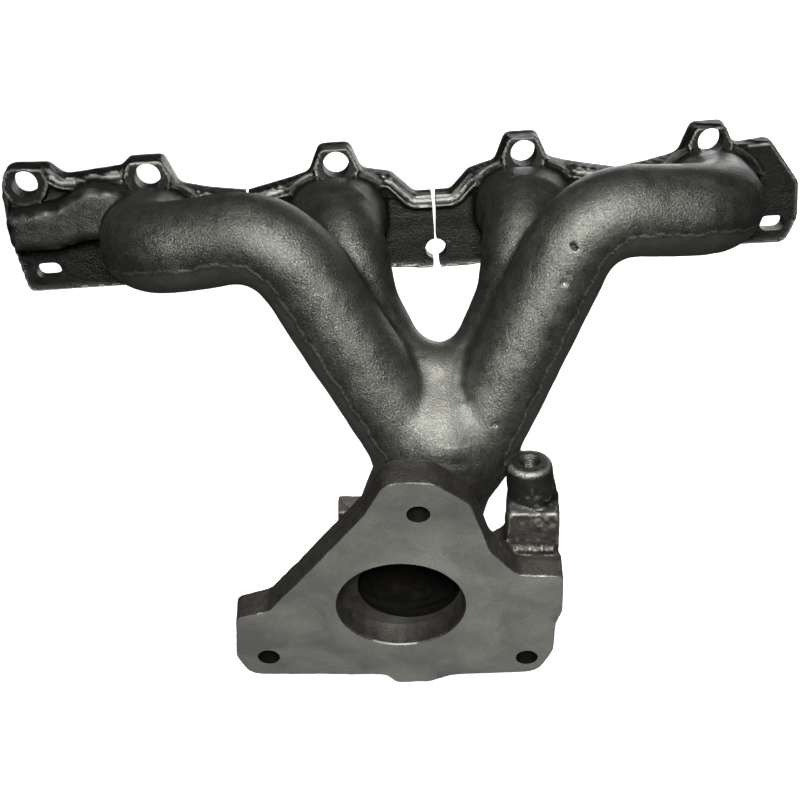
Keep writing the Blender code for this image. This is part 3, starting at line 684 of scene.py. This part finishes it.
SEAM_Y = -12.15         # behind the head flange
SEAM_W = -16.15         # behind the outlet plate
SEAM_Z = (-56, -106)    # above the collector, and between it and the neck
POST_U = 46.15          # between the boss and its block
pieces = {}
flange = take(body, block((-260, SEAM_Y, -60), (260, 20, 60)), "head_flange")
for name, x, way in (("head_pad_1", CUT_X[0], 1), ("head_pad_4", CUT_X[2], -1),
                     ("head_pad_2", CUT_X[1], 1)):
    pieces[name] = take(flange, half_space((x, 0, 0), (way, 0, 0)), name)
pieces["head_pad_3"] = flange
pieces["end_rib"] = take(body, block((-224, -32, -8), (-166, 0, 36)), "end_rib")
lower = take(body, block((-130, -160, -260), (80, 20, SEAM_Z[0])), "lower")
left = take(body, half_space((-3.0, 0, 0), (1, 0, 0)), "left")
for name, source, x, way in (("runner_1", left, -96, 1), ("runner_4", body, 98, -1)):
    cell = half_space((x, -12, 0), (way * 0.749, 0.652, 0.118))
    pieces[name] = take(source, cell, name)
pieces["runner_2"] = left
pieces["runner_3"] = body
pieces["outlet_flange"] = take(
    lower, block((-110, -90, SEAM_W), (110, 120, 20), OUTLET), "outlet_flange")
post_cell = prism("post_cell", circle(1.0, 0, 13.6, 40), -34.0, 6.0, POST)
carve(post_cell, block((0, POST_U, -90), (110, 140, 10), OUTLET), "INTERSECT")
pieces["bracket_post"] = take(lower, post_cell, "bracket_post")
for name, lo, hi in (("bracket_block", (34.0, -8.0, -50), (100, 60.0, 0)),
                     ("side_lug", (-34.0, 34.0, -34), (-8.0, 52.0, 0))):
    pieces[name] = take(lower, block(lo, hi, OUTLET), name)
pieces["collector"] = take(lower, block((-130, -160, SEAM_Z[1]), (80, 20, -40)), "collector")
pieces["outlet_neck"] = lower


# ---- materials -------------------------------------------------------------------------
class Shader:
    """Adds and links the nodes of one material."""

    def __init__(self, name):
        self.mat = bpy.data.materials.new(name)
        self.mat.use_nodes = True
        self.tree = self.mat.node_tree
        self.surface = self.tree.nodes["Principled BSDF"]
        self.place = self.add("ShaderNodeTexCoord").outputs["Object"]

    def add(self, kind, **values):
        node = self.tree.nodes.new(kind)
        for key, value in values.items():
            setattr(node, key, value)
        return node

    def feed(self, socket, value):
        if hasattr(value, "is_output") or isinstance(value, bpy.types.NodeSocket):
            self.tree.links.new(value, socket)
        else:
            socket.default_value = value

    def noise(self, scale, detail=4.0, rough=0.55, distortion=0.0):
        node = self.add("ShaderNodeTexNoise")
        self.feed(node.inputs["Vector"], self.place)
        for key, value in (("Scale", scale), ("Detail", detail), ("Roughness", rough),
                           ("Distortion", distortion)):
            node.inputs[key].default_value = value
        return node.outputs["Fac"]

    def attribute(self, name):
        return self.add("ShaderNodeAttribute", attribute_name=name).outputs["Fac"]

    def spread(self, value, lo, hi, to_lo=0.0, to_hi=1.0):
        node = self.add("ShaderNodeMapRange")
        self.feed(node.inputs["Value"], value)
        for key, v in (("From Min", lo), ("From Max", hi), ("To Min", to_lo), ("To Max", to_hi)):
            self.feed(node.inputs[key], v)
        return node.outputs["Result"]

    def math(self, kind, a, b):
        node = self.add("ShaderNodeMath", operation=kind)
        self.feed(node.inputs[0], a)
        self.feed(node.inputs[1], b)
        return node.outputs[0]

    def mix(self, share, a, b):
        node = self.add("ShaderNodeMix", data_type="RGBA")
        self.feed(node.inputs["Factor"], share)
        for socket, value in ((node.inputs[6], a), (node.inputs[7], b)):
            self.feed(socket, value + (1.0,) if isinstance(value, tuple) else value)
        return node.outputs[2]

    def bump(self, height, distance, strength, normal=None):
        node = self.add("ShaderNodeBump")
        self.feed(node.inputs["Height"], height)
        node.inputs["Distance"].default_value = distance
        node.inputs["Strength"].default_value = strength
        if normal is not None:
            self.feed(node.inputs["Normal"], normal)
        return node.outputs["Normal"]

    def finish(self, colour, roughness, metallic, normal):
        for key, value in (("Base Color", colour), ("Roughness", roughness),
                           ("Metallic", metallic), ("Normal", normal)):
            self.feed(self.surface.inputs[key], value)
        return self.mat


FLASH_SIDE_AND_HIGHLIGHT = (0.13, 0.129, 0.114)       # lighter skin beyond the parting line, and a painted highlight between the middle runners
SHADED = (0.009, 0.0089, 0.0076)        # painted shade, and a darker tone on some pieces
# edges painted lighter, as abraded metal and as painted highlight
EDGE_WEAR_AND_HIGHLIGHT = (0.21, 0.208, 0.186)


def cast_skin(name, dark, light, rough, edge_brightening=0.6):
    """Sand-cast iron: mottled and gritty, lighter on convex edges as abraded metal and as painted
    highlight, beyond the parting line, and with a painted highlight between the middle runners.

    With no edge brightening it is the near-black skin of the passages and tapped holes: painted
    shade."""
    s = Shader(name)
    grit = s.noise(1000.0, 3.0, 0.7)
    mottle = s.noise(150.0, 5.0, 0.6)
    cloud = s.noise(26.0, 3.0)
    under, tone_and_painted_shade = s.attribute("under"), s.attribute("tone_and_painted_shade")
    tone = s.math("ADD", s.math("MULTIPLY", mottle, 0.25), s.math("MULTIPLY", cloud, 0.15))
    tone = s.math("ADD", tone, s.math("MULTIPLY", grit, 0.9))
    colour = s.mix(s.spread(tone, 0.42, 0.88), dark, light)
    if edge_brightening:
        # lighter beyond the parting line; the same attribute carries a painted highlight between
        # the middle runners
        colour = s.mix(s.math("MULTIPLY", under, 0.6), colour, FLASH_SIDE_AND_HIGHLIGHT)
    # painted shade, and a darker tone on some pieces
    colour = s.mix(s.math("MULTIPLY", tone_and_painted_shade, 0.95), colour, SHADED)
    # convex edges painted lighter: abraded metal and painted highlight
    if edge_brightening:
        colour = s.mix(s.math("MULTIPLY", s.attribute("edge_wear_and_highlight"), edge_brightening), colour, EDGE_WEAR_AND_HIGHLIGHT)
    else:
        s.surface.inputs["Specular IOR Level"].default_value = 0.05
    fleck = s.spread(grit, 0.60, 0.72)
    roughness = s.spread(mottle, 0.3, 0.75, rough - 0.08, rough + 0.12)
    roughness = s.math("SUBTRACT", roughness, s.math("MULTIPLY", fleck, 0.12))
    normal = s.bump(mottle, 0.0004, 0.25)
    normal = s.bump(grit, 0.0004, 1.0, normal)
    return s.finish(colour, roughness, 0.85, normal)


def machined_face(name):
    """Milled iron: even and matt, with faint tool arcs and handling stains."""
    s = Shader(name)
    stain = s.noise(38.0, 4.0, 0.6, 0.4)
    grain = s.noise(1300.0, 3.0, 0.6)
    wave = s.add("ShaderNodeTexWave", wave_type="RINGS", rings_direction="SPHERICAL")
    s.feed(wave.inputs["Vector"], s.place)
    wave.inputs["Scale"].default_value = 420.0
    wave.inputs["Distortion"].default_value = 1.5
    colour = s.mix(s.spread(stain, 0.36, 0.64), (0.115, 0.1145, 0.104), (0.186, 0.185, 0.168))
    colour = s.mix(s.spread(grain, 0.4, 0.7, 0.0, 0.6), colour, (0.085, 0.083, 0.075))
    # painted shade towards the top of the outlet face
    colour = s.mix(s.attribute("painted_face_shade"), colour, (0.03, 0.0297, 0.027))
    roughness = s.spread(stain, 0.3, 0.7, 0.42, 0.56)
    normal = s.bump(wave.outputs["Fac"], 0.00004, 0.25)
    normal = s.bump(grain, 0.00006, 0.35, normal)
    return s.finish(colour, roughness, 0.4, normal)


MATERIALS = (
    cast_skin("cast_iron_skin", (0.016, 0.0163, 0.0140), (0.098, 0.0988, 0.0865), 0.41),
    machined_face("milled_iron"),
    cast_skin("rough_cast_skin", (0.036, 0.034, 0.030), (0.11, 0.10, 0.088), 0.5),
    # near-black inside the passages and tapped holes: painted shade
    cast_skin("painted_shade_inside_skin", (0.0012, 0.0011, 0.001), (0.007, 0.0065, 0.0058), 0.8, 0.0),
)
SKIN, MILLED, ROUGH, PAINTED_SHADE_INSIDE = range(4)        # places in MATERIALS
ON_PLANE = 0.02         # a face nearer than this to a machined plane belongs to it
OFF_SKIN = 1.7          # curvature is read this far outside, clear of the passage behind
GAS_DEPTH = -2.5        # faces deeper than this in the uncored casting are on the gas side
KIND_OF = {"outlet_flange": ROUGH, "bracket_block": ROUGH, "side_lug": ROUGH}
GLOOM_OF = {"outlet_flange": 0.25, "bracket_block": 0.2}
PAINTED_SHADE_SPOTS = (         # painted shade over highlights: strength, then middle and width along x and z
    (0.62, -8, 30, -108, 20),       # lower collector
    (0.5, -104, 20, 16, 16),        # upper bend of runner 1
)


# ---- dressing the pieces ---------------------------------------------------------------
def curvature(d):
    """Sum of second differences of the distance field: high off convex edges, low in creases."""
    out = np.zeros_like(d)
    for axis in range(3):
        out += np.roll(d, 1, axis) + np.roll(d, -1, axis) - 2 * d
    return out / VOXEL ** 2


bend = curvature(casting.d)


def sample(grid, co):
    """Grid value at each point, blended between the eight voxels round it."""
    f = np.clip((co - casting.lo) / VOXEL, 0, casting.n - 1.001)
    i = f.astype(int)
    t = f - i
    out = np.zeros(len(co))
    for dx, dy, dz in np.ndindex(2, 2, 2):
        share = np.prod([t[:, k] if d else 1 - t[:, k] for k, d in enumerate((dx, dy, dz))], 0)
        out += share * grid[i[:, 0] + dx, i[:, 1] + dy, i[:, 2] + dz]
    return out


def face_kinds(name, centre, normal):
    """Material of each face, from where it lies and which way it looks."""
    x, y, z = centre.T
    a, u, w = local(to_outlet, x, y, z)
    r = np.hypot(a, u)
    in_passage = w < -BORE_DEPTH - 0.1
    kind = np.full(len(centre), KIND_OF.get(name, SKIN), np.int32)
    cored = sample(uncored, centre) < GAS_DEPTH
    if name.startswith("head_pad"):
        cored &= (np.abs(z - PORT_Z) < 18) & (np.min([np.abs(x - px) for px in PORT_X], 0) < 22)
    # passage walls take the near-black skin: painted shade
    kind[cored & in_passage] = PAINTED_SHADE_INSIDE
    kind[(np.abs(y) < ON_PLANE) & (normal[:, 1] > 0.9)] = MILLED
    outward = normal @ np.array(OUTLET.col[2].to_3d())
    kind[(np.abs(w) < ON_PLANE) & (outward > 0.9)] = MILLED
    # only the lower part of the edge break takes the lighter milled finish: a painted highlight
    lit_lip = (np.abs(r - BORE_R - EDGE_BREAK / 2) < 0.3) & (w > -EDGE_BREAK) & (w < -ON_PLANE)
    kind[lit_lip & (np.abs(a + 3) < 12) & (u < 0)] = MILLED
    start = np.hypot(a - PASSAGE_OFFSET, u) < PASSAGE_R + 0.5
    kind[start & in_passage & (w > -OUTLET_T - 2)] = PAINTED_SHADE_INSIDE
    # the tapped holes take the near-black skin: painted shade
    for at in OUTLET_HOLES:
        hole = np.hypot(a - at[0], u - at[1]) < OUTLET_HOLE_R + 1.5
        kind[hole & (w > -OUTLET_T) & (w < -0.1)] = PAINTED_SHADE_INSIDE
    for sx in STUDS:
        wall = np.abs(np.hypot(x - sx, z - STUD_Z) - STUD_R) < 0.1
        kind[wall & (y > -FLANGE_T - SEAT_DEPTH) & (np.abs(normal[:, 1]) < 0.1)] = ROUGH
    return kind


def tones(name, co, normal):
    """The four tone attributes of each vertex.

    under: lighter skin beyond the parting line, and a painted highlight between the middle runners;
    then darker tone and painted shade; then convex edges, abraded and painted highlight; last,
    painted shade atop the milled outlet face."""
    x, y, z = co.T
    a, u, w = local(to_outlet, x, y, z)
    under = np.clip(sample(casting.under, co), 0, 1)
    # whole head pads darkened: painted shade behind the runner roots
    tone_and_painted_shade = GLOOM_OF.get(name, 1.0 if name.startswith("head_pad") else 0.0)
    painted_face_shade = np.zeros(len(co))

    if name == "end_rib":           # a lighter lower front below a wavy line
        wobble = 1.2 * np.sin(x * 0.31) + 0.8 * np.sin(x * 0.83 + 1.0)
        split = 13.0 - 0.05 * np.clip(x + 190, -40, 0) - step_up(-x, 176, 186) * 5.0 + wobble
        front = step_up(-y, 14.0, 18.0)
        under = np.maximum(under, 0.4 * step_up(split - z, -0.6, 0.6) * front)
    if name == "outlet_flange":     # lighter patch low in the bore, and painted shade towards the top of the plate
        patch = hump(a, -4, 13) * step_up(-u, 18, 26)
        patch = patch * (1 - step_up(np.hypot(a, u), BORE_R + 0.5, BORE_R + 2.5))
        tone_and_painted_shade = (tone_and_painted_shade + 0.3 * step_up(u, 35, 80)) * (1 - patch)
        painted_face_shade = 0.36 * step_up(u, 35, 80)
        under = np.maximum(under, patch)
    if name == "bracket_block":
        # painted shade over the highlight on the block's top edge
        tone_and_painted_shade = np.maximum(tone_and_painted_shade, 0.55 * step_up(u, 40, 45))

    # painted highlight between the two middle runners above the collector
    web_highlight = hump(x, -3, 17) * hump(z, -68, 18) * step_up(-y, 55, 68)
    under = np.maximum(under, 0.9 * web_highlight)
    # painted shade over the rib
    on_rib = 1 - step_up(look_up(rib_table, x, z), -1, 2)
    on_rib = on_rib * (1 - step_up(-y, 27, 31)) * step_up(-x, 140, 146)
    on_post = 1 - step_up(post_shape(x, y, z), 0.3, 1.8)
    from_inner = np.min([np.abs(x + 44), np.abs(x - 44)], 0)
    # painted shade round the inner runner roots
    inner_roots_shade = (1 - step_up(from_inner, 18, 30)) * (1 - step_up(-y, 60, 72))
    # painted shade near the head flange, behind the runners
    by_head_shade = (1 - step_up(-y, 12.0, 24.0)) * step_up(z, -45, -35)
    outside = sample(bend, co + OFF_SKIN * normal)
    # painted shade in creases
    crease_shade = step_up(-outside, 0.03, 0.2)
    spots = [strength * hump(x, at_x, wide) * hump(z, at_z, tall)
             for strength, at_x, wide, at_z, tall in PAINTED_SHADE_SPOTS]
    for shade in spots + [0.85 * on_rib, 0.8 * on_post, 0.3 * inner_roots_shade * step_up(z, -50, -20),
                          0.92 * by_head_shade, 0.5 * crease_shade]:
        tone_and_painted_shade = np.maximum(tone_and_painted_shade, shade)
    # convex edges painted lighter: abraded metal and painted highlight
    return {"under": under, "tone_and_painted_shade": tone_and_painted_shade, "edge_wear_and_highlight": step_up(outside, 0.13, 0.33), "painted_face_shade": painted_face_shade}


def dress(obj, name):
    """Materials by face, tone attributes by vertex, shading, and the links to the CAD."""
    mesh = obj.data
    if volume(mesh) < 0:
        raise RuntimeError(name + " is inside out")
    mesh.materials.clear()
    for mat in MATERIALS:
        mesh.materials.append(mat)
    kind = face_kinds(name, coords(mesh, "polygons", "center") / MM,
                      coords(mesh, "polygons", "normal"))
    mesh.polygons.foreach_set("material_index", kind)
    co = coords(mesh, "vertices", "co") / MM
    for key, values in tones(name, co, coords(mesh, "vertices", "normal")).items():
        layer = mesh.attributes.new(key, "FLOAT", "POINT")
        layer.data.foreach_set("value", values.astype(np.float32))
    mesh.shade_smooth()
    mesh.set_sharp_from_angle(angle=math.radians(36))
    obj.name = name + "_casting"
    mesh.name = obj.name
    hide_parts(name)
    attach(obj, "root")


for name in sorted(pieces):
    dress(pieces[name], name)

# ---- stage, light, camera --------------------------------------------------------------
FLOOR_Z, FLOOR_HALF = -0.2465, 12.0
WORLD_LIGHT, WORLD_SEEN = 0.07, 0.97    # strength for lighting, and as seen by the camera
FLOOR_ALBEDO, FLOOR_GLOW = (0.06, 0.06, 0.058), 0.93
LIGHTS = (              # position, target, size (m), power (W), spread (degrees)
    ("key", (-0.03, -0.95, 0.44), (0.0, -0.07, -0.09), (0.26, 0.26), 2.5, 45.0),
    ("top", (-0.1, -0.3, 1.3), (0, 0, -0.1), (0.8, 0.5), 5.0, 180.0),
    ("back", (0.45, 1.25, 0.12), (0, 0, -0.1), (0.9, 0.6), 6.0, 180.0),
)
CAMERA_AT = (-36.9, -811.1, 228.3)
CAMERA_LENS = 72.0
YAW, DOWN, ROLL = (math.radians(v) for v in (-1.1, 22.5, 3.3))

corners = [(i * FLOOR_HALF, j * FLOOR_HALF, FLOOR_Z)
           for i, j in ((-1, -1), (1, -1), (1, 1), (-1, 1))]
floor_mesh = bpy.data.meshes.new("floor")
floor_mesh.from_pydata(corners, [], [(0, 1, 2, 3)])
floor = new_object("floor", floor_mesh)
pale = Shader("pale_floor")
seen = pale.add("ShaderNodeLightPath").outputs["Is Camera Ray"]
pale.finish(pale.mix(seen, FLOOR_ALBEDO, (0.9, 0.9, 0.9)), 0.9, 0.0,
            pale.bump(pale.noise(60.0), 0.0001, 0.05))
pale.surface.inputs["Emission Color"].default_value = (1, 1, 1, 1)
pale.feed(pale.surface.inputs["Emission Strength"], pale.math("MULTIPLY", seen, FLOOR_GLOW))
pale.surface.inputs["Specular IOR Level"].default_value = 0.1
floor.data.materials.append(pale.mat)

scene = bpy.context.scene
world = bpy.data.worlds.new("studio")
scene.world = world
world.use_nodes = True
nodes, links = world.node_tree.nodes, world.node_tree.links
path = nodes.new("ShaderNodeLightPath")
mix = nodes.new("ShaderNodeMix")
mix.inputs[2].default_value = WORLD_LIGHT
mix.inputs[3].default_value = WORLD_SEEN
links.new(path.outputs["Is Camera Ray"], mix.inputs[0])
links.new(mix.outputs[0], nodes["Background"].inputs["Strength"])
nodes["Background"].inputs["Color"].default_value = (1, 1, 1, 1)

for name, at, target, size, power, spread in LIGHTS:
    data = bpy.data.lights.new(name, "AREA")
    data.spread = math.radians(spread)
    data.shape = "RECTANGLE"
    data.size, data.size_y = size
    data.energy = power
    lamp = new_object(name, data)
    lamp.location = at
    lamp.rotation_euler = (Vector(target) - Vector(at)).to_track_quat("-Z", "Y").to_euler()

camera_data = bpy.data.cameras.new("camera")
camera_data.lens = CAMERA_LENS
camera_data.sensor_width = 36.0
camera = new_object("camera", camera_data)
forward = Vector((-math.sin(YAW) * math.cos(DOWN), math.cos(YAW) * math.cos(DOWN),
                  -math.sin(DOWN)))
level = Vector((math.cos(YAW), math.sin(YAW), 0.0))
upright = level.cross(forward)
right = level * math.cos(ROLL) - upright * math.sin(ROLL)
up = level * math.sin(ROLL) + upright * math.cos(ROLL)
facing = Matrix((right, up, -forward)).transposed().to_4x4()
camera.matrix_world = Matrix.Translation(Vector(CAMERA_AT) * MM) @ facing
scene.camera = camera
scene.view_settings.view_transform = "Standard"
